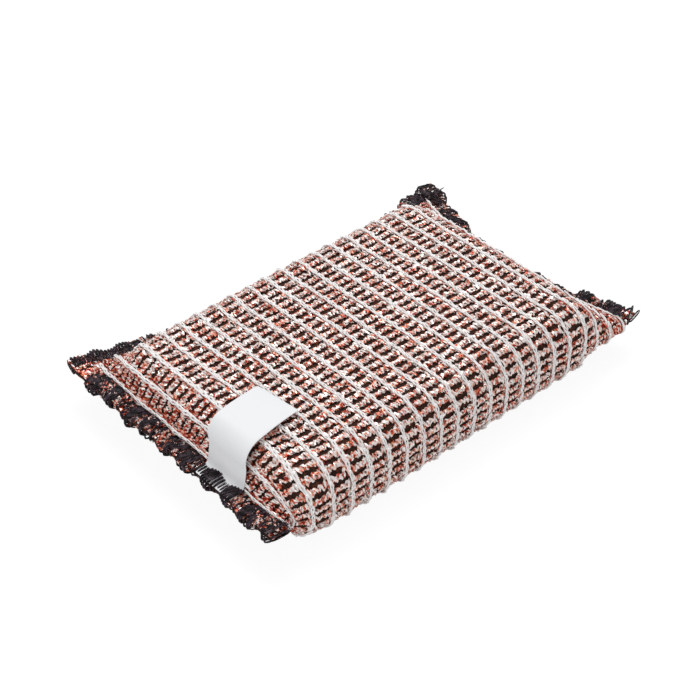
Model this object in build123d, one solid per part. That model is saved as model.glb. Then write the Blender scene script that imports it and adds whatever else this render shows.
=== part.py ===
from build123d import *
import os
from math import cos, radians, sin, sqrt

# Pot scrubber: a foam block in a pouch of knitted copper tinsel, closed by three overlocked seams.
# A folded white tape is sewn into the near end and lies over the top.
# The cloth is folded once, along the front long side, so that side has no seam.
# +X runs from the near end, which holds the tape, to the far end, +Y from the fold to the long seam.
# The part rests on Z = 0, and its origin is the middle of the stuffed body's underside.

# Stuffed pouch
body_length = 111.5
body_width = 76.0
body_height = 23.2
crown = 0.7              # the top's extra height at mid length
side_sag = 0.9           # how far the top falls from its middle to the two long shoulders
side_bulge = 0.5         # outward belly of the two side walls
seam_height = 11.3       # height of the three seams above the rest face
end_round = 9.0          # how far the end domes reach along X
shoulder_radius = 8.5    # rounding along the long sides
corner_draw = 5.0        # how far the end domes narrow on each side
cloth = 1.0              # one layer of the knit
block_end_gap = 3.75     # from the foam block's cut ends to the ends of the stuffed body
block_clearance = 0.3    # slack between the foam and the knit

# Cut edge of the cloth in plan: how far each corner stands out past the stuffed body
near_fold_out, near_fold_aside = 7.4, -0.6
near_seam_out, near_seam_aside = 5.8, 13.4
far_fold_out, far_fold_aside = 15.2, -0.6
far_seam_out, far_seam_aside = 16.8, 9.8
near_sag = 0.3           # inward bow of each cut edge between its two corners
far_sag = 9.6
long_sag = 4.8

# Cloth pulled tight from the foam's corners out to the four ears
ear_root_inset = 15.0    # where it leaves the top and the underside, in from the corner both ways
ear_under_gap = 1.3      # from the rest face up to the ears' roots
ear_top_gap = 1.9        # from the ears' roots up to the top of the stuffed body
seam_ear_width = 36.0
fold_ear_width = 20.0
ear_tip_width = 5.0
ear_rounding = 6.0

# Chain-stitch ribs of the knit, which run round the girth and are pressed flat underneath
rib_pitch = 6.0
rib_width = 1.5
rib_proud = 0.5
rib_gap = 0.05           # clearance between a rib and the knit that carries it
rib_floor = 0.6          # height at which a rib is pressed into the knit
first_rib = 6.5          # from the near end of the stuffed body
last_rib_gap = 2.0       # the least room between the last rib's middle and the far end

# Overlocked seams
overlock_width = 4.8     # from the cut edge in to the needle line
wrap_over_edge = 0.7     # how far the looper threads reach past the cut edge
wrap_thickness = 1.3
needle_width = 0.7
needle_height = 1.2
frill = 1.1              # how far each frill bulges out between its two valleys
frill_pitch = 8.4
end_overshoot = 0.8      # how far the end seams run on past the corners
long_margin = 4.0        # where the long seam starts, under the end seams that cross it

# Tape label
label_width = 14.4
label_thickness = 0.7
label_place = -13.2      # its middle, along Y
label_on_top = 18.1      # from the near end of the stuffed body to the tape's free end
label_off_body = 1.2     # from the near end of the stuffed body out to the tape's rising leg
label_bend = 4.2
label_turn = 10.0        # degrees that its lying part is turned aside, towards the long seam
label_gap = 0.3          # clearance between the tape and what it lies on
hinge_gap = 0.15         # between the sewn-in tail and the flap's rounded root

far_x = body_length / 2
near_x = -far_x
side_y = body_width / 2
fold_y = -side_y
hem_low = seam_height - cloth
hem_high = seam_height + cloth

# The end domes follow a quarter ellipse, so each station is an angle on it
dome_angles = (5, 20, 38, 55, 72, 90)
crown_shares = (0.15, 0.32, 0.5, 0.68, 0.85)
corner_steps = 5         # straight runs in each rounded corner of an outline
rounding_share = 0.46    # the most of an outline's height that one corner takes
top_shares = (0.5, 0, -0.5)


def soft_outline(plane, sides, heights, rounding, sag=0, bulge=0):
    """A closed outline with rounded corners, bellied sides and a top that sags from its middle."""
    (left, right), (low, high) = sides, heights
    middle, half = (left + right) / 2, (right - left) / 2
    shoulder = high - sag
    waist = (low + shoulder) / 2
    top = [(middle + share * half, high - sag * share * share) for share in top_shares]
    corners = (
        (right - rounding, shoulder - rounding, 0, top),
        (left + rounding, shoulder - rounding, 90, [(left - bulge, waist)]),
        (left + rounding, low + rounding, 180, []),
        (right - rounding, low + rounding, 270, [(right + bulge, waist)]),
    )
    points = []
    for across, up, first_angle, next_side in corners:
        for step in range(corner_steps + 1):
            angle = radians(first_angle + 90 * step / corner_steps)
            points.append((across + rounding * cos(angle), up + rounding * sin(angle)))
        points += next_side
    return plane * Polyline(*points, close=True)


def crown_at(x):
    """How far the middle of the top stands above the body height at x."""
    share = (x - near_x - end_round) / (body_length - 2 * end_round)
    return crown * max(0, 4 * share * (1 - share))


def outline_at(x, inset):
    """The pouch's outline on the plane at x, drawn in all round by inset."""
    reach = min(end_round, far_x - inset - abs(x))
    rise = sqrt(1 - (1 - reach / end_round) ** 2)
    high = seam_height + (body_height + crown_at(x) - seam_height - inset) * rise
    low = seam_height - (seam_height - inset) * rise
    sag = side_sag * rise * rise
    draw = inset + corner_draw * (1 - rise)
    rounding = min(shoulder_radius - inset, (high - sag - low) * rounding_share)
    plane = Plane(origin=(x, 0, 0), x_dir=(0, 1, 0), z_dir=(1, 0, 0))
    return soft_outline(plane, (fold_y + draw, side_y - draw), (low, high), rounding, sag, side_bulge * rise)


def lofted(outlines):
    """A solid with straight lines from each outline to the next."""
    return Solid.make_loft([Wire(outline.edges()) for outline in outlines], ruled=True)


def pillow(inset):
    """The stuffed form, drawn in all round by inset."""
    reaches = [end_round * (1 - cos(radians(angle))) for angle in dome_angles]
    flat_start, flat_length = near_x + end_round, body_length - 2 * end_round
    stations = [near_x + inset + reach for reach in reaches]
    stations += [flat_start + share * flat_length for share in crown_shares]
    stations += [far_x - inset - reach for reach in reversed(reaches)]
    return lofted([outline_at(x, inset) for x in stations])


# Corners of the cut edge, and the three seams between them, each as start, end and inward bow
near_fold = Vector(near_x - near_fold_out, fold_y - near_fold_aside)
near_seam = Vector(near_x - near_seam_out, side_y + near_seam_aside)
far_fold = Vector(far_x + far_fold_out, fold_y - far_fold_aside)
far_seam = Vector(far_x + far_seam_out, side_y + far_seam_aside)
near_end = (near_fold, near_seam, near_sag)
long_side = (near_seam, far_seam, long_sag)
far_end = (far_seam, far_fold, far_sag)


def hem_point(seam, share, inset):
    """A point in plan at a share of the seam's length, inset from the cut edge."""
    start, end, sag = seam
    along = (end - start).normalized()
    inward = Vector(along.Y, -along.X)
    return start + (end - start) * share + inward * (4 * sag * share * (1 - share) + inset)


def hem_arc(seam, inset, margin):
    """The line that runs along a seam at that inset, from one end margin to the other."""
    share = margin / (seam[1] - seam[0]).length
    return ThreePointArc(*(hem_point(seam, s, inset) for s in (share, 0.5, 1 - share)))


def raised(outline, low, high):
    """A plan outline as a solid from low to high."""
    return extrude(Pos(0, 0, low) * make_face(outline), high - low)


def band(seam, outer_inset, inner_inset, margin):
    """Plan outline of a strip along a seam, between two insets from the cut edge."""
    outer, inner = hem_arc(seam, outer_inset, margin), hem_arc(seam, inner_inset, margin)
    return [outer, Line(outer @ 1, inner @ 1), inner, Line(inner @ 0, outer @ 0)]


needle_line = overlock_width + needle_width
wrap_reach = wrap_over_edge + frill


def seam_zone(seam):
    """All the room over and under a seam that its threads need."""
    return raised(band(seam, -wrap_reach, needle_line, -end_overshoot), 0, body_height)


def ear(root, tip, width):
    """Cloth pulled tight from the foam's corner at root out to the tip."""
    away = (tip - root).normalized()
    root_low, root_high = ear_under_gap - seam_height, body_height - ear_top_gap - seam_height
    ends = ((root, width, root_low, root_high), (tip - away * needle_line, ear_tip_width, -cloth, cloth))
    outlines = []
    for place, wide, low, high in ends:
        plane = Plane(origin=(place.X, place.Y, seam_height), x_dir=(-away.Y, away.X, 0), z_dir=away)
        rounding = min(ear_rounding, rounding_share * (high - low))
        outlines.append(soft_outline(plane, (-wide / 2, wide / 2), (low, high), rounding))
    return lofted(outlines)


def make_hem():
    """The two layers of cloth that stand out round the stuffed body, with the four ears."""
    arcs = [hem_arc(seam, 0, 0) for seam in (near_end, long_side, far_end)]
    near_in, far_in = near_x + ear_root_inset, far_x - ear_root_inset
    fold_in, side_in = fold_y + ear_root_inset, side_y - ear_root_inset
    ears = [
        ear(Vector(near_in, fold_in), near_fold, fold_ear_width),
        ear(Vector(near_in, side_in), near_seam, seam_ear_width),
        ear(Vector(far_in, fold_in), far_fold, fold_ear_width),
        ear(Vector(far_in, side_in), far_seam, seam_ear_width),
    ]
    zones = [seam_zone(seam) for seam in (near_end, long_side, far_end)]
    hem = raised([*arcs, Line(far_fold, near_fold)], hem_low, hem_high)
    for one in ears:
        hem += one - zones
    return hem


def make_ribs(hem):
    """The chain-stitch ribs, each from the long seam over the top, round the fold and underneath."""
    middle = body_height / 2
    room = Pos(0, 0, rib_floor + middle + crown) * Box(body_length, 2 * body_width, 2 * (middle + crown))
    rib_count = 1 + int((body_length - first_rib - last_rib_gap) / rib_pitch)
    ribs = []
    for index in range(rib_count):
        x = near_x + first_rib + index * rib_pitch
        ends = (x - rib_width / 2, x + rib_width / 2)
        outer, inner = (lofted([outline_at(end, inset) for end in ends]) for inset in (-rib_proud, -rib_gap))
        ribs += ((outer & room) - inner - hem).solids()
    return ribs


def frilled_strip(seam, margin):
    """Plan outline of a seam's looper threads, with a row of frills along the cut edge."""
    length = (seam[1] - seam[0]).length
    count = round((length - 2 * margin) / frill_pitch)
    start = margin / length
    step = (1 - 2 * start) / count
    outline = []
    for index in range(count):
        shares = (start + step * (index + part) for part in (0, 0.5, 1))
        low, middle, high = shares
        outline.append(
            ThreePointArc(
                hem_point(seam, low, -wrap_over_edge),
                hem_point(seam, middle, -wrap_over_edge - frill),
                hem_point(seam, high, -wrap_over_edge),
            )
        )
    inner = hem_arc(seam, overlock_width, margin)
    return [*outline, Line(outline[-1] @ 1, inner @ 1), inner, Line(inner @ 0, outline[0] @ 0)]


def overlock(seam, margin, inside):
    """The three threads of one seam, clear of what they wrap and cross."""
    strip = frilled_strip(seam, margin)
    upper = raised(strip, seam_height, hem_high + wrap_thickness)
    lower = raised(strip, hem_low - wrap_thickness, seam_height)
    needle = raised(band(seam, overlock_width, needle_line, margin), hem_high, hem_high + needle_height)
    return [thread - inside for thread in (upper, lower, needle)]


leg_x = near_x - label_off_body
hinge_z = hem_high + wrap_thickness + label_gap + label_thickness / 2
free_x = near_x + label_on_top
lie_z = body_height + crown_at(free_x) + rib_proud + label_gap + label_thickness / 2


def tape(outline, turn=0):
    """A side outline of the tape, turned aside about its rising leg and given its width along Y."""
    upright = Plane.XZ * make_face(outline)
    side = Pos(leg_x, label_place - label_width / 2, 0) * Rot(0, 0, turn) * (Pos(-leg_x, 0, 0) * upright)
    return extrude(side, label_width, dir=(0, 1, 0))


def make_label_tail():
    """The end of the tape that lies under the looper threads and turns up beside the needle line."""
    half = label_thickness / 2
    outer_x = hem_point(near_end, 0.5, 0).X
    low, high, top = hem_high, hem_high + label_thickness, hinge_z - half - hinge_gap
    points = [
        (outer_x, low), (leg_x + half, low), (leg_x + half, top),
        (leg_x - half, top), (leg_x - half, high), (outer_x, high),
    ]
    return tape(Polyline(*points, close=True))


def make_label_flap():
    """The part of the tape that turns: up from the seam, round the bend and flat on the top."""
    half = label_thickness / 2
    slope = sin(radians(45))

    def bend(radius):
        centre_x, centre_z = leg_x + label_bend, lie_z - label_bend
        return ThreePointArc(
            (centre_x - radius, centre_z),
            (centre_x - radius * slope, centre_z + radius * slope),
            (centre_x, centre_z + radius),
        )

    outer, inner = bend(label_bend + half), bend(label_bend - half)
    return tape([
        ThreePointArc((leg_x + half, hinge_z), (leg_x, hinge_z - half), (leg_x - half, hinge_z)),
        Line((leg_x - half, hinge_z), outer @ 0),
        outer,
        Line(outer @ 1, (free_x, lie_z + half)),
        Line((free_x, lie_z + half), (free_x, lie_z - half)),
        Line((free_x, lie_z - half), inner @ 1),
        inner,
        Line(inner @ 0, (leg_x + half, hinge_z)),
    ], label_turn)


def make_foam():
    """The foam block, with its cut ends, in the form that the pouch presses it into."""
    block_length = body_length - 2 * block_end_gap
    return pillow(cloth + block_clearance) & Box(block_length, 2 * body_width, 4 * body_height)


def make_nodes():
    """Every piece under the name of its node."""
    hem = make_hem()
    outside = pillow(0) + hem
    ribs = make_ribs(hem)
    tail = make_label_tail()
    nodes = {
        "foam_core": make_foam(),
        "knitted_pouch": outside - pillow(cloth),
        "chain_stitch_ribs": Compound(ribs),
        "label_tail": tail,
        "label_flap": make_label_flap(),
    }
    ends = [seam_zone(near_end), seam_zone(far_end)]
    seams = (
        ("near_end", near_end, -end_overshoot, [hem, tail]),
        ("long_side", long_side, long_margin, [hem, *ends]),
        ("far_end", far_end, -end_overshoot, [hem]),
    )
    for name, seam, margin, inside in seams:
        upper, lower, needle = overlock(seam, margin, inside)
        nodes[name + "_upper_looper_thread"] = upper
        nodes[name + "_lower_looper_thread"] = lower
        nodes[name + "_needle_thread"] = needle
    return nodes


os.makedirs("parts", exist_ok=True)
for name, solid in make_nodes().items():
    export_step(solid, "parts/" + name + ".step")
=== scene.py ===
from collections import namedtuple
from functools import partial
from math import cos, exp, pi, sin

import bpy
import numpy as np
from mathutils import Matrix, Vector


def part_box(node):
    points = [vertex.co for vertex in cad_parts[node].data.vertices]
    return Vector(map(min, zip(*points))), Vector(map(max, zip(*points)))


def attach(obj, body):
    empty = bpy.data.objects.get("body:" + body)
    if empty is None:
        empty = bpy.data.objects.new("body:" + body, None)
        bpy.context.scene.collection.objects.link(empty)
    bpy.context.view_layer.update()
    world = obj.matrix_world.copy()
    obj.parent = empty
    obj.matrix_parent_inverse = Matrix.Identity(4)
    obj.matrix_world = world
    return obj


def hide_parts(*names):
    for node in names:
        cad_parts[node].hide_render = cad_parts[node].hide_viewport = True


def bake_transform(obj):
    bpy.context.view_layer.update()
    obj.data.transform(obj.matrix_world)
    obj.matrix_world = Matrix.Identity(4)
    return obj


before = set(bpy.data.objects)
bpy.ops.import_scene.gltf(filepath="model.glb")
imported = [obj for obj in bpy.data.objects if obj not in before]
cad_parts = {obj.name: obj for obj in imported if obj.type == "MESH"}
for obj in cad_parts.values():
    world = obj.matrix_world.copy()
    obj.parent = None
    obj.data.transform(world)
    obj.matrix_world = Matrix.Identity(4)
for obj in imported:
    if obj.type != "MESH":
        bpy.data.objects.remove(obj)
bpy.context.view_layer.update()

# Pot scrubber: a foam block in a pouch of knitted copper tinsel, with three overlocked seams and a tape.
# The cloth is one sheet, folded along the front long side. It is worked out flat, with u along the length and
# v round the girth, and every yarn is laid on it: the white chains along v, the tinsel rows along u.
# Sizes here are in millimetres until a mesh is made.

MM = 0.001


def box_of(node):
    """The lowest and highest corner of a CAD node, in millimetres."""
    return [np.array(corner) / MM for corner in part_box(node)]


foam_low, foam_high = box_of("foam_core")
pouch_low, pouch_high = box_of("knitted_pouch")
tail_low, tail_high = box_of("label_tail")
flap_low, flap_high = box_of("label_flap")

# Stuffed body
side_cover = 0.8         # from the foam's side to the outer yarns
end_cover = 3.75         # from the foam's end to the cloth's, where the corners are slack
crown = 0.7              # how much higher the top is in the middle than at its ends
side_sag = 0.9           # how much lower it is at its sides
half_width = foam_high[1] + side_cover
end_x = foam_high[0] + end_cover
seam_z = box_of("near_end_upper_looper_thread")[0][2]
body_top = pouch_high[2] - crown
end_round = 9.0
end_blunt = 0.985        # share of the ends' rounding that is kept, short of a point
shoulder = 8.5
corner_draw = 5.0        # how far the seams draw the body's corners in
cloth_inset = 0.9        # the ground of the knit lies this far inside the outer yarns

# Cut edge: its corners in plan, and how far the ears there stand out past the stuffed body
near_ear_out, far_ear_out, far_ear_side = 5.8, 15.2, 9.8
fold_inset = 0.6         # the fold lies this far inside the body's side
near_fold = np.array([pouch_low[0], -half_width + fold_inset])
near_seam = np.array([-end_x - near_ear_out, pouch_high[1]])
far_seam = np.array([pouch_high[0], half_width + far_ear_side])
far_fold = np.array([end_x + far_ear_out, -half_width + fold_inset])
tape_shares = (tail_low[1] - near_fold[1], tail_high[1] - near_fold[1]) / (near_seam[1] - near_fold[1])

# Each seam's ends, its inward bow, its droop between its ends, and the shares of it that lie flat, under the
# tape or where a corner is sewn twice
Seam = namedtuple("Seam", "start end bow droop flat")
seams = {
    "near_end": Seam(near_fold, near_seam, bow=0.3, droop=0.0, flat=tape_shares),
    "long_side": Seam(near_seam, far_seam, bow=6.4, droop=4.6, flat=(-0.1, 0.13)),
    "far_end": Seam(far_seam, far_fold, bow=9.6, droop=2.5, flat=(-0.1, 0.03)),
}
overlock_width = 5.0
frill_pitch = 8.4
frill_out = 1.2
frill_up = 0.9
frill_depth = 7.0        # from the cut edge to where the cloth lies still
lobe_drift, lobe_beat = 0.6, 1.9    # how uneven the lobes' lengths are, and how fast that changes
flat_fade = 0.04         # share of a seam over which its waves die down beside a flat part
layer_gap = 0.45         # from the middle of a seam to each layer's ground
pressed_share = 0.4      # of the yarns' height that is left under the overlocks
press_from, press_to = 0.8, 0.6    # before and past the needle line: where the pressing begins and is full
least_height = 0.03      # of a yarn above the rest face

# Knit
wale_pitch = 6.0
wale_count = 22
row_pitch = 2.946
row_count = 67
wale_start = -61.25      # the first white chain that shows, at the near end
row_start = 23.04        # a tinsel row on the top
column_step = wale_pitch / 4
line_step = row_pitch / 2
u_edge = -67.05
u_count = 93
v_edge = row_start + 10 * row_pitch
v_count = 133
sewn_lines = 4           # lines and columns of the sheet that each seam holds
u_line = u_edge + column_step * np.arange(u_count)
v_line = v_edge - line_step * np.arange(v_count)

# Where the girth turns, as distances along the cloth from the middle of the top
turn = shoulder * pi / 2
flat_half = half_width - shoulder
wall = body_top - side_sag - 2 * shoulder
v_fold = -(flat_half + turn + wall / 2)
v_under = v_fold - wall / 2 - turn
v_back = v_under - 2 * flat_half


def hem_point(seam, share, inset):
    """A point of a seam in plan, at a share of its length and inset from the cut edge."""
    way = seam.end - seam.start
    along = way / np.linalg.norm(way)
    inward = np.array([along[1], -along[0]])
    share, inset = np.broadcast_arrays(np.asarray(share, float), inset)
    share, inset = share[..., None], inset[..., None]
    return seam.start + way * share + inward * (4 * seam.bow * share * (1 - share) + inset)


def frill(seam, share):
    """Outward and upward waves of the cut edge, in the uneven lobes that the overlock draws it into."""
    length = np.linalg.norm(seam.end - seam.start)
    beat = share * round(length / frill_pitch)
    swing = pi * beat + lobe_drift * np.sin(lobe_beat * beat + length)
    fade = np.clip(12 * share * (1 - share), 0, 1)
    past_flat = np.maximum(seam.flat[0] - share, share - seam.flat[1])
    fade = fade * np.clip(past_flat / flat_fade, 0, 1)
    return np.abs(np.sin(swing)) * fade, np.sin(swing) * fade


def hem(seam, share, inset, layer):
    """A point of a seam in space. The layer is 1 on the upper cloth and -1 on the lower one."""
    out, up = frill(seam, share)
    fade = np.clip(1 - inset / frill_depth, 0, 1)
    plan = hem_point(seam, share, inset - frill_out * out * fade)
    height = seam_z - seam.droop * np.sin(pi * share) + frill_up * up * fade + layer * layer_gap
    return np.concatenate([plan, height[..., None]], axis=-1)


# The ear at the far end of the fold, which the foam's corner fills: its root and tip, each with half its
# width and height
ear_root, ear_root_half = np.array([end_x - 9, -half_width + 9]), (9.0, 9.0)
ear_tip, ear_tip_half = far_fold + np.array([-5.5, 1.5]), (2.6, 2.2)
ear_hang = 2.4           # how far the ear's tip hangs below the seams' height


def ear_depth(x, y, z):
    """About how far each point lies outside the ear."""
    reach = ear_tip - ear_root
    size = np.linalg.norm(reach)
    along = ((x - ear_root[0]) * reach[0] + (y - ear_root[1]) * reach[1]) / size ** 2
    share = np.clip(along, 0, 1)
    side = ((x - ear_root[0]) * reach[1] - (y - ear_root[1]) * reach[0]) / size
    wide, high = (root + (tip - root) * share for root, tip in zip(ear_root_half, ear_tip_half))
    ring = np.sqrt((side / wide) ** 2 + ((z - seam_z + ear_hang * share) / high) ** 2)
    return (ring - 1) * np.minimum(wide, high) + np.abs(along - share) * size


def top_at(x, y):
    """Height of the stuffed body's top, which is crowned along its length and sags to its sides."""
    share = np.clip((x / (end_x - end_round) + 1) / 2, 0, 1)
    return body_top + crown * 4 * share * (1 - share) - side_sag * (y / half_width) ** 2


def depth(points):
    """About how far each point lies outside the stuffed body, and less than zero inside it."""
    x, y, z = points[..., 0], points[..., 1], points[..., 2]
    reach = np.clip((np.abs(x) - (end_x - end_round)) / end_round, 0, end_blunt)
    rise = np.sqrt(1 - reach * reach)
    half = body_top / 2
    half_above, half_below = (top_at(x, y) - seam_z) * rise, seam_z * rise
    level = np.where(z > seam_z, (z - seam_z) / half_above, (z - seam_z) / half_below) * half
    side = np.abs(y) + corner_draw * (1 - rise) - (half_width - shoulder)
    up = np.abs(level) - (half - shoulder)
    outside = np.hypot(np.maximum(side, 0), np.maximum(up, 0))
    outer = outside + np.minimum(np.maximum(side, up), 0) - shoulder
    body = np.maximum(outer, np.abs(x) - end_x) + cloth_inset
    return np.minimum(body, ear_depth(x, y, z) + cloth_inset)


def pushed_out(points):
    """The points, with those inside the stuffed body moved towards its skin."""
    step, least_slope, furthest = 0.02, 0.05, 2.0
    value = depth(points)
    slope = np.stack([(depth(points + step * axis) - value) / step for axis in np.eye(3)], axis=-1)
    size = np.maximum(np.sum(slope * slope, axis=-1), least_slope)
    move = np.clip(-value / size, 0, furthest)
    return points + slope * move[..., None]


def girth(v):
    """Y and height of the upper cloth at a distance v round the middle of the body."""
    y, z = np.clip(v, -flat_half, flat_half), np.full_like(v, body_top)
    for centre, past, sign in ((flat_half, v - flat_half, 1), (-flat_half, -flat_half - v, -1)):
        angle = np.clip(past / shoulder, 0, pi / 2)
        down = np.clip(past - turn, 0, None)
        y = np.where(past > 0, centre + sign * shoulder * np.sin(angle), y)
        z = np.where(past > 0, body_top - side_sag - shoulder * (1 - np.cos(angle)) - down, z)
    to_seam = flat_half + turn + wall / 2
    y = np.where(v > to_seam, half_width + v - to_seam, y)
    z = np.where(v > to_seam, seam_z, z)
    return y, z


def first_guess():
    """Where each point of the cloth is before it is drawn tight."""
    taper_from, taper_over = 50, 12
    v = np.where(v_line >= v_fold, v_line, 2 * v_fold - v_line)
    y, z = girth(v)
    z = np.where(v_line >= v_fold, z, 2 * seam_z - z)
    z = np.where(v_line < v_fold, np.clip(z, 0, None), z)
    points = np.zeros((u_count, v_count, 3))
    points[..., 0] = u_line[:, None]
    points[..., 1] = y[None, :]
    points[..., 2] = z[None, :]
    beyond = np.clip((np.abs(u_line) - taper_from) / taper_over, 0, 1)[:, None]
    points[..., 2] = points[..., 2] * (1 - beyond) + seam_z * beyond
    return points


# Drawing the cloth tight
flat_u, flat_v = 42, 26  # half the length and width of the top and the underside that are held flat
flat_rounds, cloth_rounds = 6, 500
fold_drop = (0.6, 0.5)   # how far the far end hangs at the fold: at its edge, and more for each mm of inset
fold_drop_width = 5      # along the girth


def cloth_grid():
    """The sewn cloth, drawn tight over the stuffed body from seam to seam."""
    points = first_guess()
    upper = v_line >= v_fold
    v_share = (v_line - v_fold) / np.where(upper, v_edge - v_fold, v_line[-1] - v_fold)
    layer = np.where(upper, 1, -1) * np.clip(np.abs(v_line - v_fold) / 4, 0, 1)
    near_the_fold = np.exp(-((v_line - v_fold) / fold_drop_width) ** 2)
    held = np.zeros(points.shape[:2], bool)
    for column in range(sewn_lines):
        inset = column * column_step
        points[column] = hem(seams["near_end"], v_share, inset, layer)
        points[-1 - column] = hem(seams["far_end"], 1 - v_share, inset, layer)
        points[-1 - column, :, 2] -= (fold_drop[0] + fold_drop[1] * inset) * near_the_fold
        held[column] = held[-1 - column] = True
    u_share = (u_line - u_line[0]) / (u_line[-1] - u_line[0])
    free = slice(sewn_lines, -sewn_lines)
    for line in range(sewn_lines):
        for index, side in ((line, 1), (-1 - line, -1)):
            sewn = hem(seams["long_side"], u_share, line * line_step, np.full(u_count, side))
            points[free, index] = sewn[free]
            held[free, index] = True
    middle = np.abs(u_line) <= flat_u
    top = np.ix_(middle, np.abs(v_line) <= flat_v)
    under = np.ix_(middle, np.abs(v_line - (v_under + v_back) / 2) <= flat_v)
    for patch in (top, under):
        for _ in range(flat_rounds):
            points[patch] = pushed_out(points[patch])
        held[patch] = True
    points[(*top, 2)] = top_at(points[(*top, 0)], points[(*top, 1)]) - cloth_inset
    points[(*under, 2)] = cloth_inset
    along, across = 1 / column_step ** 2, 1 / line_step ** 2
    for _ in range(cloth_rounds):
        ahead_and_behind = points[2:, 1:-1] + points[:-2, 1:-1]
        beside = points[1:-1, 2:] + points[1:-1, :-2]
        moved = points.copy()
        moved[1:-1, 1:-1] = (along * ahead_and_behind + across * beside) / (2 * (along + across))
        moved = pushed_out(moved)
        moved[..., 2] = np.maximum(moved[..., 2], cloth_inset * 0.9)
        points = np.where(held[..., None], points, moved)
    return points


def mesh_object(name, points, faces=(), edges=()):
    """A new object in the scene, from points in millimetres."""
    mesh = bpy.data.meshes.new(name)
    mesh.from_pydata([tuple(p) for p in np.asarray(points, float) * MM], edges, faces)
    mesh.update()
    thing = bpy.data.objects.new(name, mesh)
    bpy.context.scene.collection.objects.link(thing)
    return thing


def settled(thing, smooth=False):
    """The thing with its modifiers applied to its mesh."""
    graph = bpy.context.evaluated_depsgraph_get()
    mesh = bpy.data.meshes.new_from_object(thing.evaluated_get(graph))
    thing.modifiers.clear()
    thing.data = mesh
    mesh.name = thing.name
    if smooth:
        mesh.polygons.foreach_set("use_smooth", [True] * len(mesh.polygons))
    return thing


def rounded(thing, levels):
    """Adds a subdivision surface, which leaves a map's lines straight."""
    rounding = thing.modifiers.new("rounding", "SUBSURF")
    rounding.levels = rounding.render_levels = levels
    rounding.uv_smooth = "NONE"


def make_cloth():
    """The flat-mapped sheet that the yarns are laid on, with its place in the flat as a UV map."""
    grid = cloth_grid()
    corners = [i * v_count + j for i in range(u_count - 1) for j in range(v_count - 1)]
    faces = [(here, here + 1, here + v_count + 1, here + v_count) for here in corners]
    cloth = mesh_object("pouch_ground", grid.reshape(-1, 3), faces)
    uv = cloth.data.uv_layers.new(name="flat")
    for loop in cloth.data.loops:
        i, j = divmod(loop.vertex_index, v_count)
        uv.data[loop.index].uv = (i / (u_count - 1), j / (v_count - 1))
    rounded(cloth, 1)
    return settled(cloth, smooth=True)


# Camera, placed by the knit's own grid in the photograph
camera_place = Vector((-246.2, -265.3, 309.5)) * MM
camera_right = Vector((0.7417, -0.6707, 0.0045))
camera_up = Vector((0.4221, 0.4719, 0.7741))
sensor_width, focal_length = 36, 88.69


def make_camera():
    camera = bpy.data.objects.new("camera", bpy.data.cameras.new("camera"))
    bpy.context.scene.collection.objects.link(camera)
    right = camera_right.normalized()
    back = right.cross(camera_up).normalized()
    turned = Matrix((right, back.cross(right), back)).transposed().to_4x4()
    camera.matrix_world = Matrix.Translation(camera_place) @ turned
    camera.data.sensor_width = sensor_width
    camera.data.lens = focal_length
    camera.data.clip_start, camera.data.clip_end = 0.01, 20
    bpy.context.scene.camera = camera


# Nodes
MATH, VECTOR_MATH, NOISE = "ShaderNodeMath", "ShaderNodeVectorMath", "ShaderNodeTexNoise"


def add_node(tree, kind, *values, inputs=None, **settings):
    """Adds a node to a tree with its settings, and links or sets its inputs, by order or by name."""
    node = tree.nodes.new(kind)
    for name, value in settings.items():
        setattr(node, name, value)
    wanted = [(socket, value) for socket, value in zip(node.inputs, values) if value is not None]
    for name, value in (inputs or {}).items():
        socket = next(socket for socket in node.inputs if socket.enabled and socket.name == name)
        wanted.append((socket, value))
    for socket, value in wanted:
        if isinstance(value, bpy.types.Node):
            value = next(out for out in value.outputs if out.enabled)
        if isinstance(value, bpy.types.NodeSocket):
            tree.links.new(value, socket)
        else:
            socket.default_value = value
    return node


def through(add, kind, value, *steps):
    """A value taken through one operation after another, each given with what else it takes."""
    for operation, *others in steps:
        value = add(kind, value, *others, operation=operation)
    return value


def new_tree(name, sizes):
    """A geometry tree with an input for its geometry and each size: what adds nodes to it, and its inputs."""
    tree = bpy.data.node_groups.new(name, "GeometryNodeTree")
    tree.interface.new_socket("Geometry", in_out="INPUT", socket_type="NodeSocketGeometry")
    for label in sizes:
        tree.interface.new_socket(label, in_out="INPUT", socket_type="NodeSocketFloat")
    tree.interface.new_socket("Geometry", in_out="OUTPUT", socket_type="NodeSocketGeometry")
    return partial(add_node, tree), tree.nodes.new("NodeGroupInput").outputs


def ended(add, geometry, material):
    """The finished tree, which ends in plain geometry of one material."""
    real = add("GeometryNodeRealizeInstances", geometry)
    painted = add("GeometryNodeSetMaterial", real, inputs={"Material": material})
    return add("NodeGroupOutput", painted).id_data


def stepped(add, lines, step):
    """Straight edges as curves with a point at each step."""
    curves = add("GeometryNodeMeshToCurve", lines)
    return add("GeometryNodeResampleCurve", curves, mode="LENGTH", inputs={"Length": step})


def repeated(add, thing, points, **inputs):
    """A thing at each point, turned and scaled by the inputs, as real geometry."""
    one = add("GeometryNodeObjectInfo", thing).outputs["Geometry"]
    copies = add("GeometryNodeInstanceOnPoints", points, inputs={"Instance": one} | inputs)
    return add("GeometryNodeRealizeInstances", copies)


def shake_of(add, noise, most):
    """A shift of up to half the most each way, from the colour of a noise."""
    centred = add(VECTOR_MATH, noise.outputs["Color"], (0.5, 0.5, 0.5), operation="SUBTRACT")
    return add(VECTOR_MATH, centred, operation="SCALE", inputs={"Scale": most})


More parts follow.
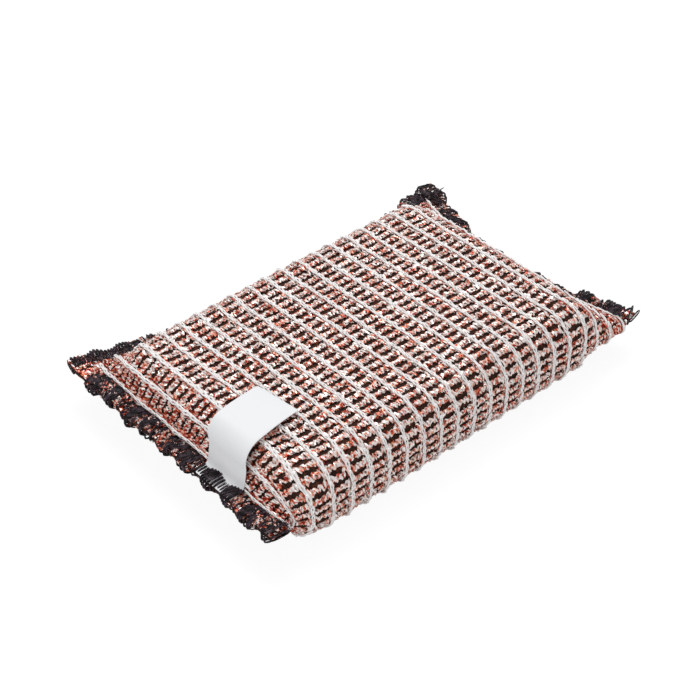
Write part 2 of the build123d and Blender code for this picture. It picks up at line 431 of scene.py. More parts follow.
def grown(thing, tree, sizes):
    """The thing with the tree's result as its plain mesh."""
    modifier = thing.modifiers.new("grown", "NODES")
    modifier.node_group = tree
    for item in tree.interface.items_tree:
        if item.item_type == "SOCKET" and item.in_out == "INPUT" and item.name in sizes:
            modifier[item.identifier] = float(sizes[item.name])
    return settled(thing)


def laid_on_cloth(add, flat, cloth):
    """Moves geometry that is drawn flat, as u, v and height, on to the sewn cloth."""
    origin = (u_line[0] * MM, v_line[0] * MM, 0)
    span = ((u_line[-1] - u_line[0]) * MM, (v_line[-1] - v_line[0]) * MM, 1)
    place = add("GeometryNodeInputPosition")
    share = through(add, VECTOR_MATH, place, ("SUBTRACT", origin), ("DIVIDE", span))
    inside = through(add, VECTOR_MATH, share, ("MAXIMUM", (0.001, 0.001, -1)), ("MINIMUM", (0.999, 0.999, 1)))
    sheet = add("GeometryNodeObjectInfo", cloth).outputs["Geometry"]
    flat_map = add("GeometryNodeInputNamedAttribute", "flat", data_type="FLOAT_VECTOR")
    skin, upright = (
        add(
            "GeometryNodeSampleUVSurface", data_type="FLOAT_VECTOR",
            inputs={"Mesh": sheet, "Value": add(field), "UV Map": flat_map, "Sample UV": inside},
        )
        for field in ("GeometryNodeInputPosition", "GeometryNodeInputNormal")
    )
    away = through(add, VECTOR_MATH, share, ("SUBTRACT", (0.5, 0.5, 0)), ("MULTIPLY", span), ("ABSOLUTE",))
    away = add("ShaderNodeSeparateXYZ", away)
    pressed = []
    for axis, half in (("X", abs(span[0]) / 2), ("Y", abs(span[1]) / 2)):
        edge = half - overlock_width * MM
        limits = {"From Min": edge - press_from * MM, "From Max": edge + press_to * MM}
        limits |= {"To Min": 1.0, "To Max": pressed_share}
        pressed.append(add("ShaderNodeMapRange", away.outputs[axis], inputs=limits))
    pressed = add(MATH, *pressed, operation="MINIMUM")
    height = add(MATH, add("ShaderNodeSeparateXYZ", place).outputs["Z"], pressed, operation="MULTIPLY")
    steps = ("NORMALIZE",), ("MULTIPLY_ADD", height, skin), ("MAXIMUM", (-1, -1, least_height * MM))
    raised = through(add, VECTOR_MATH, upright, *steps)
    return add("GeometryNodeSetPosition", flat, inputs={"Position": raised})


# Tinsel rows, and how a strand's winding, its shaking and its slack vary along it
tinsel_sizes = {
    "Turn pitch": 1.5 * MM, "Across": 0.6 * MM, "Depth": 0.34 * MM, "Lift": 0.44 * MM, "Step": 0.25 * MM,
    "Ribbon width": 0.5 * MM, "Ribbon thickness": 0.13 * MM, "Twist": 2.6, "Jitter": 0.6 * MM, "Seed": 0,
}
wander_length, wander_turns = 3.1, 1.6
row_shift = 0.77         # distance between rows over which the winding starts a turn later
shake_length = 0.9
bound_fullness = 1.9     # how much wider the strands bulge where a white chain binds them
bound_from, bound_to = 0.35, 0.78    # over which the bulge dies down, from 0 at a chain to 1 between two
wander_gain, wander_start = 2.3, -0.1    # how much a strand's width wanders, and from where
slack_from, slack_to, slack_most = 47, 62, 0.5    # from the body's middle: the ends aren't drawn tight, and there the tinsel is painted darker as painted shade


def tinsel_tree(cloth, material):
    """Winds a crinkled strand along each row."""
    add, size = new_tree("tinsel row", tinsel_sizes)
    rows = stepped(add, size["Geometry"], size["Step"])
    place = add("GeometryNodeInputPosition")
    u, v, _ = add("ShaderNodeSeparateXYZ", place).outputs
    wander, noise = (
        add(
            NOISE, noise_dimensions="4D",
            inputs={"Vector": place, "W": size["Seed"], "Scale": 1 / (length * MM), "Detail": detail},
        )
        for length, detail in ((wander_length, 1.0), (shake_length, 0.0))
    )
    start = add(MATH, v, 1 / (row_shift * MM), size["Seed"], operation="MULTIPLY_ADD")
    turns = through(add, MATH, u, ("DIVIDE", size["Turn pitch"]), ("ADD", start))
    angle = through(add, MATH, wander, ("MULTIPLY_ADD", wander_turns, turns), ("MULTIPLY", 2 * pi))
    steps = ("SUBTRACT", wale_start * MM), ("MULTIPLY", pi / (wale_pitch * MM)), ("SINE",), ("ABSOLUTE",)
    fullness = add(
        "ShaderNodeMapRange", through(add, MATH, u, *steps), interpolation_type="SMOOTHSTEP",
        inputs={"From Min": bound_from, "From Max": bound_to, "To Min": bound_fullness, "To Max": 1.0},
    )
    slack_and_shade = add(
        "ShaderNodeMapRange", add(MATH, u, operation="ABSOLUTE"), interpolation_type="SMOOTHSTEP",
        inputs={"From Min": slack_from * MM, "From Max": slack_to * MM, "To Min": 0.0, "To Max": slack_most},
    )
    loose = through(add, MATH, wander, ("MULTIPLY_ADD", wander_gain, wander_start), ("ADD", slack_and_shade))
    steps = ("COSINE",), ("MULTIPLY", size["Across"]), ("MULTIPLY", fullness), ("MULTIPLY", loose)
    across = through(add, MATH, angle, *steps)
    swing = add(MATH, angle, operation="SINE")
    up = add(MATH, swing, size["Depth"], size["Lift"], operation="MULTIPLY_ADD")
    coil = add("ShaderNodeCombineXYZ", 0.0, across, up)
    shaken = add(VECTOR_MATH, coil, shake_of(add, noise, size["Jitter"]), operation="ADD")
    wound = add("GeometryNodeSetPosition", rows, inputs={"Offset": shaken})
    # How far each point lies on a turn's crest: the tinsel is painted pale there as a painted highlight, and
    # deep copper in the dips as painted shade.
    flank = through(add, MATH, swing, ("MULTIPLY", swing), ("MULTIPLY_ADD", 0.5, 0.5))
    crest = through(add, MATH, swing, ("MULTIPLY_ADD", 0.5, 0.5), ("MULTIPLY", flank))
    # At the slack ends the painted light is lowered, as painted shade on the slopes there.
    crest = {"Name": "crest", "Value": add(MATH, slack_and_shade, -0.6, crest, operation="MULTIPLY_ADD")}
    kept = add("GeometryNodeStoreNamedAttribute", wound, data_type="FLOAT", inputs=crest)
    upright = add("GeometryNodeSetCurveNormal", kept, mode="Z_UP")
    rolling = through(add, MATH, noise, ("SUBTRACT", 0.5), ("MULTIPLY", size["Twist"]))
    rolled = add("GeometryNodeSetCurveTilt", upright, inputs={"Tilt": rolling})
    section = add(
        "GeometryNodeCurvePrimitiveQuadrilateral", mode="RECTANGLE",
        inputs={"Width": size["Ribbon width"], "Height": size["Ribbon thickness"]},
    )
    strand = add("GeometryNodeCurveToMesh", rolled, section, inputs={"Fill Caps": True})
    flat_shaded = add("GeometryNodeSetShadeSmooth", strand, inputs={"Shade Smooth": False})
    return ended(add, laid_on_cloth(add, flat_shaded, cloth), material)


row_lines = v_edge - row_pitch * np.arange(row_count)
row_overhang = 0.3       # past the cut edge
fold_from, fold_to = -28, v_under + 1    # the rows between these lie round the fold
zones = {
    "upper": row_lines[row_lines > fold_from],
    "folded": row_lines[(row_lines <= fold_from) & (row_lines > fold_to)],
    "under": row_lines[row_lines <= fold_to],
}

# Each strand of a row: its own turn pitch, lift and width, so that no two lie alike
strands = (
    {"Turn pitch": 1.5 * MM, "Seed": 0.0},
    {"Turn pitch": -1.2 * MM, "Lift": 0.38 * MM, "Seed": 3.7},
    {"Turn pitch": 1.85 * MM, "Lift": 0.34 * MM, "Across": 0.68 * MM, "Seed": 7.1},
)


def make_tinsel(cloth, material):
    """The rows' crinkled strands, in one piece for each strand of each zone."""
    tree = tinsel_tree(cloth, material)
    ends = (u_line[0] - row_overhang, u_line[-1] + row_overhang)
    for zone, rows in zones.items():
        for number, strand in enumerate(strands):
            points = [(u, v, 0) for v in rows for u in ends]
            edges = [(2 * n, 2 * n + 1) for n in range(len(rows))]
            piece = mesh_object(f"tinsel_{zone}_{number + 1}", points, edges=edges)
            grown(piece, tree, tinsel_sizes | strand)
            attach(piece, "pouch")


# White chains
yarn = 0.25              # radius of the chain's yarn
leg_spread = 0.22        # from the chain's middle to each leg of a loop
eye_spread = 0.19        # how much further the legs part at the eye, which the next loop comes through
eye_place, eye_length = 0.55, 0.42
stitch_half = 1.75
stitch_steps = 16
tape_push = 1.3          # how far the tape pushes the first chain in
sewn_over = 9.0          # how far from the long seam the first chain comes out of the near seam
chain_sizes = {"Lift": 1.0 * MM, "Jitter": 0.4 * MM}


def stitch_mesh():
    """One chain stitch: a loop of yarn along a wale, with its legs close together but for the eye."""
    points = []
    for step in range(stitch_steps):
        angle = 2 * pi * step / stitch_steps
        y = stitch_half * cos(angle)
        side = sin(angle) / max(abs(sin(angle)), 0.25) ** 0.5
        eye = exp(-((y - eye_place) / eye_length) ** 2)
        points.append((side * (leg_spread + eye_spread * eye), y, 0.2 * cos(angle)))
    return joined("chain_stitch", [tube(points, yarn, 4, closed=True)])


def chain_tree(cloth, stitch, material):
    """Lays a chain stitch at each crossing of a wale and a row."""
    add, size = new_tree("chain stitches", chain_sizes)
    turned, scaled = (
        add("FunctionNodeRandomValue", data_type="FLOAT_VECTOR", inputs={"Min": low, "Max": high})
        for low, high in (
            ((-0.12, -0.12, -0.13), (0.12, 0.12, 0.13)),
            ((0.85, 0.94, 0.9), (1.15, 1.06, 1.15)),
        )
    )
    points = add("GeometryNodeMeshToPoints", size["Geometry"])
    chains = repeated(add, stitch, points, Rotation=turned, Scale=scaled)
    place = add("GeometryNodeInputPosition")
    noise = add(NOISE, inputs={"Vector": place, "Scale": 1 / (5 * MM), "Detail": 1.0})
    lift = add("ShaderNodeCombineXYZ", 0.0, 0.0, size["Lift"])
    moved = add(VECTOR_MATH, shake_of(add, noise, size["Jitter"]), lift, operation="ADD")
    shaken = add("GeometryNodeSetPosition", chains, inputs={"Offset": moved})
    smooth = add("GeometryNodeSetShadeSmooth", shaken)
    return ended(add, laid_on_cloth(add, smooth, cloth), material)


def under_tape(v):
    """Whether a place on the first chain lies behind the tape's rising leg."""
    share = (v - v_fold) / (v_edge - v_fold)
    return tape_shares[0] < share < tape_shares[1]


def make_chains(cloth, material):
    """The white chains, one stitch for each row. The first chain stays clear of the seams and the tape."""
    wales = wale_start + wale_pitch * np.arange(wale_count)
    rows = row_lines[:-1] - row_pitch / 2
    spots = [(wales[0] + tape_push * under_tape(v), v, 0) for v in rows if v < v_edge - sewn_over]
    spots += [(u, v, 0) for u in wales[1:] for v in rows]
    chains = mesh_object("white_chains", spots)
    stitch = stitch_mesh()
    grown(chains, chain_tree(cloth, stitch, material), chain_sizes)
    bpy.data.objects.remove(stitch)
    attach(chains, "pouch")
    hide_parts("chain_stitch_ribs")


# Overlocked seams
stitch_pitch = 0.98
wrap_slant = 0.7         # how far each wrap leans along the seam
wrap_steps = 12
ply_spread = 0.34        # between the plies of a wrap, where it is widest
ply_radius = 0.17
lace_radius = 0.15
loop_reach = 0.5         # past the cut edge
loop_height = 1.35       # above the middle of the seam
lace_inset = 0.85        # from the needle line out to where the two loopers interlace
seam_steps = 160
patch_length = 2.6       # along a seam, over which its wraps crowd or open
even_fade = 0.0008       # how soon the wraps grow uneven beside a flat part
end_closeness = 90.0     # the higher, the closer to a seam's ends its wraps lie down
end_narrowing, end_lowering = -0.3, -0.6
thread_sizes = {
    "Pitch": stitch_pitch * MM, "Lean": 0.24, "Spread": 0.12, "Seed": 1, "Lobes": frill_pitch * MM,
    "Swell": 0.2, "Bunching": 0.6 * MM, "Narrowest": 0.45, "Widest": 1.12, "Even width": 0.72,
}

# Shares of each seam that its wraps cover. The near end's stop short of the corner that the long seam closes.
wrapped_shares = {"near_end": (0.0, 0.9), "long_side": (0.0, 1.0), "far_end": (0.0, 1.0)}


def tube(points, radius, sides, closed=False):
    """Points, faces and map of a tube along a line of points, with closed ends. The map's u runs round the
    tube and its v along it, in turns of its girth."""
    points = [Vector(p) for p in points]
    count = len(points)
    made, faces, flat = [], [], []
    travelled = [0.0]
    for here, ahead in zip(points, points[1:] + points[:1]):
        travelled.append(travelled[-1] + (ahead - here).length / (2 * pi * radius))
    normal = Vector((0, 0, 1))
    for n, here in enumerate(points):
        ahead = points[(n + 1) % count] if closed or n < count - 1 else here
        behind = points[n - 1] if closed or n else here
        along = (ahead - behind).normalized()
        side = along.cross(normal)
        if side.length < 0.05:
            side = along.cross(Vector((0.3, 1, 0.1)))
        side.normalize()
        normal = side.cross(along).normalized()
        for corner in range(sides):
            angle = 2 * pi * corner / sides
            made.append(here + radius * (cos(angle) * side + sin(angle) * normal))
    for n in range(count if closed else count - 1):
        m = (n + 1) % count
        for corner in range(sides):
            over = (corner + 1) % sides
            faces.append((n * sides + corner, n * sides + over, m * sides + over, m * sides + corner))
            left, right = corner / sides, (corner + 1) / sides
            low, high = travelled[n], travelled[n + 1]
            flat += [(left, low), (right, low), (right, high), (left, high)]
    if not closed:
        faces.append(tuple(range(sides - 1, -1, -1)))
        faces.append(tuple(range((count - 1) * sides, count * sides)))
        flat += [(0, 0)] * sides + [(0, travelled[count - 1])] * sides
    return made, faces, flat


def joined(name, parts):
    """One object from several tubes."""
    points, faces, flat = [], [], []
    for part_points, part_faces, part_flat in parts:
        faces += [tuple(len(points) + i for i in face) for face in part_faces]
        points += part_points
        flat += part_flat
    thing = mesh_object(name, points, faces)
    thing.data.uv_layers.new(name="round").uv.foreach_set("vector", [c for pair in flat for c in pair])
    return thing


def wrap_mesh(name, side):
    """A looper thread's wrap of three plies, from the needle line to just round the cut edge.

    X runs along the seam, Y outward from the middle of the overlock, and the side is 1 above and -1 below."""
    inner, outer = -overlock_width / 2 - 0.3, overlock_width / 2 + loop_reach
    middle, half = (inner + outer) / 2, (outer - inner) / 2
    parts = []
    for ply in (-1, 0, 1):
        points = []
        for step in range(wrap_steps + 1):
            angle = pi - (pi + 0.15) * step / wrap_steps
            arch = max(sin(angle), 0.0)
            spread = ply * ply_spread * (0.4 + 0.7 * arch)
            y = middle + half * cos(angle) * (1 - 0.03 * ply * ply)
            z = side * (loop_height * arch ** 0.6 - (0.12 if arch == 0 else 0))
            lean = wrap_slant * (step / wrap_steps - 0.5)
            points.append((spread + lean, y, z + 0.05 * side * sin(3 * angle + ply)))
        parts.append(tube(points, ply_radius, 5))
    y, z = inner + lace_inset, side * loop_height * 0.66
    lace = [(stitch_pitch * (share - 0.5), y + 0.12 * cos(2 * pi * share), z) for share in (0, 0.5, 1)]
    parts.append(tube(lace, lace_radius, 5))
    return joined(name, parts)


def needle_mesh():
    """One stitch of the needle thread, a short bead along the needle line."""
    points = [(-0.5, 0, 0), (-0.25, 0.1, 0.3), (0.25, -0.1, 0.3), (0.5, 0, 0)]
    return joined("needle_stitch", [tube(points, 0.2, 6)])


def seam_line(name, seam, inset, spans, lift=0.0):
    """A fine line along a seam for each span of shares, at an inset from its cut edge. Its points know
    whether they are in the seam's flat part."""
    points, edges, even = [], [], []
    for low, high in spans:
        shares = np.linspace(low, high, seam_steps + 1)
        line = hem(seam, shares, np.full(seam_steps + 1, float(inset)), np.zeros(seam_steps + 1))
        line[:, 2] += lift
        edges += [(len(points) + n, len(points) + n + 1) for n in range(seam_steps)]
        points += list(line)
        even += list(np.clip(1 + (seam.flat[1] - shares) * (shares - seam.flat[0]) / even_fade, 0, 1))
    thing = mesh_object(name, points, edges=edges)
    thing.data.attributes.new("even", "FLOAT", "POINT").data.foreach_set("value", even)
    return thing


def thread_tree(name, stitch, material):
    """Sets a stitch at each pitch along a seam. Some lean, some stand out in lobes, and they crowd in
    patches, but for the flat parts, where they are even. At the seam's ends they lie down."""
    add, size = new_tree(name, thread_sizes)
    line = stepped(add, size["Geometry"], size["Pitch"])
    along = add("GeometryNodeInputTangent")
    facing = add("FunctionNodeAlignRotationToVector", axis="X", pivot_axis="Z", inputs={"Vector": along})
    even = add("GeometryNodeInputNamedAttribute", "even", data_type="FLOAT")
    uneven = add(MATH, 1.0, even, operation="SUBTRACT")
    least = add(MATH, size["Lean"], -1.0, operation="MULTIPLY")
    lean = {"Min": least, "Max": size["Lean"], "Seed": size["Seed"]}
    lean = add("FunctionNodeRandomValue", data_type="FLOAT", inputs=lean)
    lean = add("ShaderNodeCombineXYZ", 0.0, 0.0, add(MATH, lean, uneven, operation="MULTIPLY"))
    turned = add("FunctionNodeRotateRotation", facing, lean, rotation_space="LOCAL")
    spline = add("GeometryNodeSplineParameter")
    steps = ("DIVIDE", size["Lobes"]), ("MULTIPLY_ADD", 2 * pi, size["Seed"]), ("SINE",)
    wave = through(add, MATH, spline.outputs["Length"], *steps)
    spread = add("FunctionNodeRandomValue", data_type="FLOAT", inputs={"Max": size["Spread"]})
    swell = through(add, MATH, wave, ("MULTIPLY_ADD", size["Swell"], 1.0), ("ADD", spread))
    steps = ("SUBTRACT", 0.5), ("ABSOLUTE",), ("MULTIPLY", 2.0), ("POWER", end_closeness)
    ending = through(add, MATH, spline.outputs["Factor"], *steps)
    closing = add(MATH, ending, end_narrowing, swell, operation="MULTIPLY_ADD")
    flattened = add(MATH, ending, end_lowering, closing, operation="MULTIPLY_ADD")
    place = add("GeometryNodeInputPosition")
    patches = add(NOISE, inputs={"Vector": place, "Scale": 1 / (patch_length * MM), "Detail": 0.0})
    opened = add(
        "ShaderNodeMapRange", patches,
        inputs={"From Min": 0.38, "From Max": 0.62, "To Min": size["Narrowest"], "To Max": size["Widest"]},
    )
    opened = add(MATH, opened, uneven, operation="MULTIPLY")
    opened = add(MATH, even, size["Even width"], opened, operation="MULTIPLY_ADD")
    scale = add("ShaderNodeCombineXYZ", opened, closing, flattened)
    shift = through(add, MATH, wave, ("MULTIPLY", size["Bunching"]), ("MULTIPLY", uneven))
    shift = add(VECTOR_MATH, along, operation="SCALE", inputs={"Scale": shift})
    line = add("GeometryNodeSetPosition", line, inputs={"Offset": shift})
    threads = repeated(add, stitch, line, Rotation=turned, Scale=scale)
    return ended(add, add("GeometryNodeSetShadeSmooth", threads), material)


def make_overlocks(material):
    """The three threads of each seam."""
    kinds = {
        "upper_looper": (wrap_mesh("upper_wrap", 1), overlock_width / 2, 0.12),
        "lower_looper": (wrap_mesh("lower_wrap", -1), overlock_width / 2, -0.12),
        "needle": (needle_mesh(), overlock_width + 0.2, layer_gap + 0.5),
    }
    trees = {kind: thread_tree(kind, mesh, material) for kind, (mesh, _, _) in kinds.items()}
    for number, name in enumerate(seams):
        for kind, (_, inset, lift) in kinds.items():
            piece = seam_line(f"{name}_{kind}", seams[name], inset, [wrapped_shares[name]], lift)
            sizes = thread_sizes | {"Seed": number + 1}
            if kind == "needle":
                sizes |= {"Swell": 0.0, "Lean": 0.3, "Narrowest": 1.0, "Widest": 1.0}
            grown(piece, trees[kind], sizes)
            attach(piece, "pouch")
            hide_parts(f"{name}_{kind}_thread")
    for mesh, _, _ in kinds.values():
        bpy.data.objects.remove(mesh)


# Cut ends of the tinsel, which show between the wraps and stand out between the lobes
tuft_sizes = {"Spacing": 0.08 * MM, "Height": 1.55 * MM, "Width": 2.9 * MM, "Seed": 5}
tuft_patch = 4.5         # length of a patch of tufts
tuft_painted_light = 0.16        # share of painted light that the tufts get: low, so that they are painted darker, as painted shade among the wraps
tuft_end = 0.9           # share of each seam at which they stop
tuft_luck, tuft_level = 0.16, 0.5    # how much chance decides, beside the patches, and from where they grow


def curl_mesh():
    """A short crinkled end of tinsel."""
    points = [(0.26 * (n - 2.5), 0.18 * cos(2.4 * n), 0.2 * sin(1.9 * n)) for n in range(6)]
    return joined("tinsel_curl", [tube(points, 0.14, 4)])


def tuft_tree(curl, material):
    """Scatters curls of tinsel over and under a seam, in patches."""
    add, size = new_tree("seam tufts", tuft_sizes)
    line = stepped(add, size["Geometry"], size["Spacing"])
    along = add("GeometryNodeInputTangent")
    outward = add(VECTOR_MATH, (0, 0, 1), along, operation="CROSS_PRODUCT")
    scatter, turned, scaled = (
        add("FunctionNodeRandomValue", data_type="FLOAT_VECTOR", inputs={"Min": low, "Max": high} | seed)
        for low, high, seed in (
            ((-1, -1, -1), (1, 1, 1), {"Seed": size["Seed"]}),
            ((-0.7, -0.7, -3.1), (0.7, 0.7, 3.1), {}),
            ((0.6, 0.8, 0.8), (1.1, 1.5, 1.5), {}),
        )
    )
    out, side, luck = add("ShaderNodeSeparateXYZ", scatter).outputs
    across = add(MATH, out, size["Width"], 0.15 * MM, operation="MULTIPLY_ADD")
    square = add(MATH, out, out, operation="MULTIPLY")
    side = add(MATH, side, operation="SIGN")
    steps = ("SUBTRACT", square), ("SQRT",), ("MULTIPLY", side), ("MULTIPLY", size["Height"])
    tall = add("ShaderNodeCombineXYZ", 0.0, 0.0, through(add, MATH, 1.0, *steps))
    offset = add(VECTOR_MATH, outward, operation="SCALE", inputs={"Scale": across})
    offset = add(VECTOR_MATH, offset, tall, operation="ADD")
    place = add("GeometryNodeInputPosition")
    patches = add(NOISE, inputs={"Vector": place, "Scale": 1 / (tuft_patch * MM), "Detail": 0.0})
    chosen = add(MATH, luck, tuft_luck, patches, operation="MULTIPLY_ADD")
    chosen = add("FunctionNodeCompare", chosen, tuft_level, data_type="FLOAT", operation="GREATER_THAN")
    spots = add("GeometryNodeSetPosition", line, inputs={"Offset": offset})
    curls = repeated(add, curl, spots, Selection=chosen, Rotation=turned, Scale=scaled)
    # The tufts get one low painted light: painted shade among the wraps.
    crest = {"Name": "crest", "Value": tuft_painted_light}
    kept = add("GeometryNodeStoreNamedAttribute", curls, data_type="FLOAT", inputs=crest)
    return ended(add, kept, material)


def make_tufts(material):
    """The cut tinsel of each seam, but for its flat part."""
    curl = curl_mesh()
    tree = tuft_tree(curl, material)
    for number, (name, seam) in enumerate(seams.items()):
        spans = [(start, end) for start, end in ((0, seam.flat[0]), (seam.flat[1], tuft_end)) if start < end]
        tufts = seam_line(f"{name}_cut_tinsel", seam, overlock_width / 2, spans)
        grown(tufts, tree, tuft_sizes | {"Seed": number})
        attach(tufts, "pouch")
    bpy.data.objects.remove(curl)


# Tape label
tape_width = tail_high[1] - tail_low[1]
tape_middle = (tail_high[1] + tail_low[1]) / 2
tape_thick = 0.34
tape_skew = 3.3          # how far the free end lies over towards the long seam
tape_turn = 1.6          # how much longer one edge of the tape runs than the other, by that skew
tape_twist = 0.9
tape_columns = 12
sewn_points = 4          # of the tape's middle line, which stay straight
bend = 5.2               # radius over the shoulder
cad_half = 0.35          # half the thickness of the CAD's tape
leg_x = flap_low[0] + cad_half
lie_z = flap_high[2] - cad_half
hinge_z = flap_low[2] + cad_half


def tape_line():
    """The tape's middle line, seen from the side, from the sewn end to the free end."""
    edge = near_fold[0]
    points = [(edge + 0.5, seam_z + 0.75), (edge + 2.5, seam_z + 1.15), (leg_x - 2.3, seam_z + 1.0)]
    rise = lie_z - bend - hinge_z
    points += [(leg_x - 1.2 + 0.3 * n, hinge_z - 1.0 + (rise + 1.0) * n / 5) for n in range(5)]
    for step in range(9):
        angle = pi - pi / 2 * step / 8
        points.append((leg_x + bend + bend * cos(angle), lie_z - bend + bend * sin(angle)))
    start, reach = leg_x + bend, flap_high[0] - leg_x - bend
    points += [(start + reach * n / 8, lie_z + 0.35 * sin(pi * n / 9)) for n in range(1, 9)]
    return points


def make_label(material):
    """One blank tape, sewn in at one end, bent over the shoulder and lying skewed on the top."""
    line = tape_line()
    points, faces = [], []
    for n, (x, z) in enumerate(line):
        share = max(0, n - sewn_points) / (len(line) - sewn_points - 1)
        for m in range(tape_columns + 1):
            side = m / tape_columns - 0.5
            y = tape_middle + tape_skew * share + side * tape_width
            points.append((x - tape_turn * share * side, y, z + tape_twist * side * sin(pi * share) ** 2))
    for n in range(len(line) - 1):
        for m in range(tape_columns):
            here = n * (tape_columns + 1) + m
            faces.append((here, here + tape_columns + 1, here + tape_columns + 2, here + 1))
    tape = mesh_object("tape_label", points, faces)
    thickened = tape.modifiers.new("thickened", "SOLIDIFY")
    thickened.thickness, thickened.offset = tape_thick * MM, 0
    rounded(tape, 2)
    tape.data.materials.append(material)
    settled(tape, smooth=True)
    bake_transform(tape)
    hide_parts("label_tail", "label_flap")


# Foam block and the ground of the knit
foam_inset = 1.2         # the foam is squeezed this much at each face
foam_edge = 8.0
ground_thick = 0.5


def make_foam(material):
    """The foam block, with its edges squeezed round."""
    low, high = foam_low + foam_inset, foam_high - foam_inset
    corners = [(x, y, z) for x in (low[0], high[0]) for y in (low[1], high[1]) for z in (low[2], high[2])]
    sides = [(0, 1, 3, 2), (4, 6, 7, 5), (0, 4, 5, 1), (2, 3, 7, 6), (0, 2, 6, 4), (1, 5, 7, 3)]
    foam = mesh_object("foam_block", corners, sides)
    edges = foam.modifiers.new("edges", "BEVEL")
    edges.width, edges.segments = foam_edge * MM, 6
    foam.data.materials.append(material)
    settled(foam, smooth=True)
    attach(foam, "pouch")
    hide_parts("foam_core")


def close_cloth(cloth, material):
    """Gives the ground of the knit its thickness, inward, once the yarns are on it."""
    thickened = cloth.modifiers.new("thickened", "SOLIDIFY")
    thickened.thickness, thickened.offset = ground_thick * MM, -1
    cloth.data.materials.append(material)
    settled(cloth)
    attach(cloth, "pouch")
    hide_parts("knitted_pouch")


# Finishes

def linear(colour):
    """The linear colour of an sRGB hex value."""
    channels = [int(colour[n:n + 2], 16) / 255 for n in (1, 3, 5)]
    return tuple(c / 12.92 if c <= 0.04045 else ((c + 0.055) / 1.055) ** 2.4 for c in channels) + (1,)


def finish_of(name, **values):
    """A new finish, what adds nodes to it, its surface shader and the place of each point on the piece."""
    finish = bpy.data.materials.new(name)
    finish.use_nodes = True
    shader = finish.node_tree.nodes["Principled BSDF"]
    for key, value in values.items():
        shader.inputs[key.replace("_", " ")].default_value = value
    add = partial(add_node, finish.node_tree)
    return finish, add, shader, add("ShaderNodeTexCoord").outputs["Object"]


def coloured(add, shader, share, *stops):
    """Gives a finish its colours: hex values at their shares, blended between them."""
    blend = add("ShaderNodeValToRGB", share)
    while len(blend.color_ramp.elements) < len(stops):
        blend.color_ramp.elements.new(0.5)
    for element, (position, colour) in zip(blend.color_ramp.elements, stops):
        element.position = position
        element.color = linear(colour)
    shader.id_data.links.new(blend.outputs["Color"], shader.inputs["Base Color"])


def raised_by(add, shader, height, strength, distance):
    """Gives a finish a fine relief from a height between 0 and 1."""
    relief = add("ShaderNodeBump", inputs={"Strength": strength, "Distance": distance * MM, "Height": height})
    shader.id_data.links.new(relief.outputs["Normal"], shader.inputs["Normal"])


def copper_tinsel():
    """Metallised polyester film, slit and crinkled: glossy, its tone differing at random, with a painted
    highlight, pale pink, where a turn crests and painted shade, deep copper, where it dips into the knit."""
    finish, add, shader, place = finish_of("copper tinsel", Metallic=0.5, Roughness=0.34)
    crest = add("ShaderNodeAttribute", attribute_name="crest").outputs["Fac"]
    noise = add(NOISE, inputs={"Vector": place, "Scale": 1 / (0.9 * MM), "Detail": 1.0})
    share = add(MATH, noise, 1.3, -0.34, operation="MULTIPLY_ADD")
    share = add(MATH, crest, 0.8, share, operation="MULTIPLY_ADD")
    # The palest stops are a painted highlight and the deep reds painted shade, chosen by the painted crest
    # light; the noise varies the tone at random.
    coloured(
        add, shader, share,
        (0.13, "#8F1B08"), (0.25, "#CE4A24"), (0.36, "#F29676"), (0.47, "#FDD5C8"), (0.6, "#FFF8F5"),
    )
    return finish


def white_yarn():
    """Textured polyester yarn, spun soft: matt white, with a pink tint painted at random as a painted
    reflection of the copper tinsel.
    """
    finish, add, shader, place = finish_of("white polyester yarn", Roughness=0.8)
    noise = add(NOISE, inputs={"Vector": place, "Scale": 1 / (1.1 * MM), "Detail": 2.0})
    # The pinkish stop is a painted reflection of the tinsel, spread by the noise.
    coloured(add, shader, noise, (0.3, "#EDE3E0"), (0.45, "#FBF8F7"), (0.6, "#FFFFFF"))
    return finish


def dark_ground_and_painted_shade():
    """The knit's dark polyester inlay, seen between the rows: matt and flecked with copper, and darkened
    further as painted shade between the rows.
    """
    finish, add, shader, place = finish_of("dark knit ground", Roughness=0.9, Specular_IOR_Level=0.1)
    noise = add(NOISE, inputs={"Vector": place, "Scale": 1 / (0.7 * MM), "Detail": 3.0})
    # Dark inlay yarn, its browns deepened as painted shade between the tinsel rows, and flecked with copper.
    coloured(add, shader, noise, (0.35, "#2A1D19"), (0.55, "#402C25"), (0.7, "#6B3522"))
    return finish


def dark_foam():
    """Open-cell polyurethane foam, cut from a slab: dull and dark, with each cell's pit painted darker as
    painted shade.
    """
    finish, add, shader, place = finish_of("polyurethane foam", Roughness=0.95)
    cells = add("ShaderNodeTexVoronoi", inputs={"Vector": place, "Scale": 1 / (0.8 * MM)})
    # Darkest at each cell's middle, its pit: painted shade in the pores.
    coloured(add, shader, cells.outputs["Distance"], (0.1, "#191413"), (0.6, "#4A413E"))
    raised_by(add, shader, cells.outputs["Distance"], strength=0.8, distance=0.3)
    return finish


def filaments(add, count, twist):
    """A wave for each filament of a thread, which winds round it as it runs along."""
    u, v, _ = add("ShaderNodeSeparateXYZ", add("ShaderNodeUVMap", uv_map="round")).outputs
    steps = ("MULTIPLY_ADD", twist, u), ("MULTIPLY", 2 * pi * count), ("SINE",), ("MULTIPLY_ADD", 0.5, 0.5)
    return through(add, MATH, v, *steps)


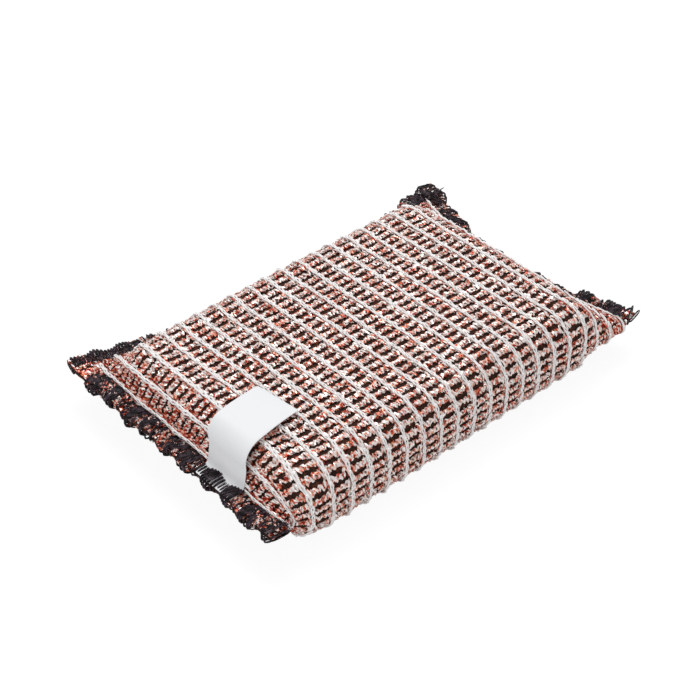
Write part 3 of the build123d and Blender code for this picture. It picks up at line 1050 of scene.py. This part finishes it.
def looper_thread():
    """Dark textured polyester, spun of many filaments: its silky sheen is painted into its colour as lighter
    fine streaks along each ply, a painted sheen, and its tone varies at random. Four streaks go round a ply,
    which is coarser than its filaments, so that they show."""
    finish, add, shader, place = finish_of("dark overlock thread", Roughness=0.4, Specular_IOR_Level=0.2)
    wave = filaments(add, 4, 0.12)
    noise = add(NOISE, inputs={"Vector": place, "Scale": 1 / (1.3 * MM), "Detail": 1.0})
    share = add(MATH, wave, 0.35, noise, operation="MULTIPLY_ADD")
    # The pale stop is painted sheen along the streaks; the near-black between them is the thread's own
    # colour.
    coloured(add, shader, share, (0.45, "#050204"), (0.72, "#1A0E15"), (1.0, "#63505D"))
    raised_by(add, shader, wave, strength=0.6, distance=0.04)
    return finish


def satin_tape():
    """White polyester satin, woven: smooth, with an even soft sheen. Its weave is too fine to show."""
    return finish_of("white satin tape", Base_Color=linear("#EDEEF0"), Roughness=0.55)[0]


# Studio
floor_half = 3000
lamp_size = 0.5
lamps = {"key": ((0.2, 0.3, 0.75), 3.9), "front": ((-0.7, -0.35, 0.35), 1.1)}    # place in metres, and power
white = (1, 1, 1, 1)
floor_glow, floor_share = 1.06, 0.86    # the floor's own light, and how far it hides the shadows


def emptied(owner):
    """Takes out the nodes of a world or a finish: what adds new ones."""
    owner.use_nodes = True
    owner.node_tree.nodes.clear()
    return partial(add_node, owner.node_tree)


def make_studio():
    """A pale floor under a plain world, with soft light from above and from the camera's left."""
    world = bpy.data.worlds.new("studio")
    bpy.context.scene.world = world
    add = emptied(world)
    seen = add("ShaderNodeLightPath").outputs["Is Camera Ray"]
    light, backdrop = (add("ShaderNodeBackground", white, strength) for strength in (0.5, 1.0))
    add("ShaderNodeOutputWorld", add("ShaderNodeMixShader", seen, light, backdrop))
    for name, (place, power) in lamps.items():
        lamp = bpy.data.objects.new(name, bpy.data.lights.new(name, "AREA"))
        lamp.data.size, lamp.data.energy = lamp_size, power
        lamp.location = place
        lamp.rotation_euler = (-Vector(place)).to_track_quat("-Z", "Y").to_euler()
        bpy.context.scene.collection.objects.link(lamp)
    corners = [(x * floor_half, y * floor_half, 0) for x, y in ((-1, -1), (1, -1), (1, 1), (-1, 1))]
    floor = mesh_object("floor", corners, [(0, 1, 2, 3)])
    finish = bpy.data.materials.new("pale studio floor")
    add = emptied(finish)
    matt = add("ShaderNodeBsdfDiffuse", (0.9, 0.9, 0.9, 1))
    lit = add("ShaderNodeEmission", white, floor_glow)
    seen = add("ShaderNodeLightPath").outputs["Is Camera Ray"]
    share = add(MATH, seen, floor_share, operation="MULTIPLY")
    add("ShaderNodeOutputMaterial", add("ShaderNodeMixShader", share, matt, lit))
    floor.data.materials.append(finish)
    bpy.context.scene.view_settings.view_transform = "Standard"


make_camera()
make_studio()
cloth = make_cloth()
tinsel = copper_tinsel()
make_foam(dark_foam())
make_overlocks(looper_thread())
make_tufts(tinsel)
make_label(satin_tape())
make_tinsel(cloth, tinsel)
make_chains(cloth, white_yarn())
close_cloth(cloth, dark_ground_and_painted_shade())
